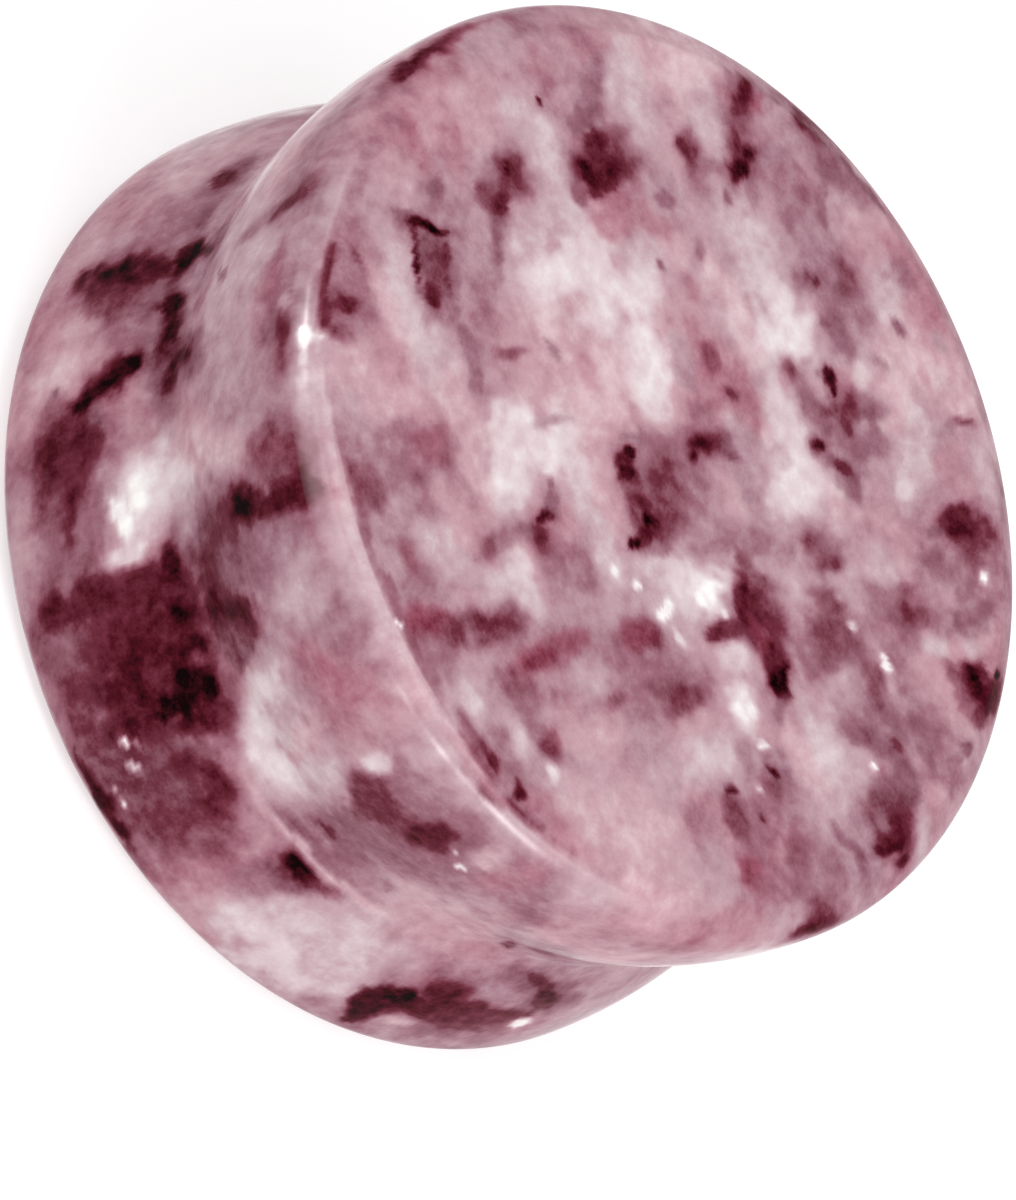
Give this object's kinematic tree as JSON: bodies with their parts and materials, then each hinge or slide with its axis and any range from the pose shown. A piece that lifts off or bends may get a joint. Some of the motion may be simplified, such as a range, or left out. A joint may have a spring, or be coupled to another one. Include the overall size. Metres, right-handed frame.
{
  "type": "solid stone saddle plug for a stretched earlobe",
  "caption": "Solid round saddle plug turned from polished pink stone, with a hollowed waist between equal flares and flat faces inside narrow bevelled lands.",
  "frame": {"origin": "middle of the back face that the plug lies on", "axes": "+Z along the plug's axis, from the back face to the front face; the form is round, so X and Y are alike, and the pattern of the stone is placed for a view along +Y"},
  "size_m": [0.0274, 0.0274, 0.0136],
  "materials": {
    "polished_pink_stone": "polished natural stone, mottled pink, wine red and greyish white"
  },
  "bodies": {
    "root": {"stone_plug": "polished_pink_stone"}
  },
  "joints": []
}
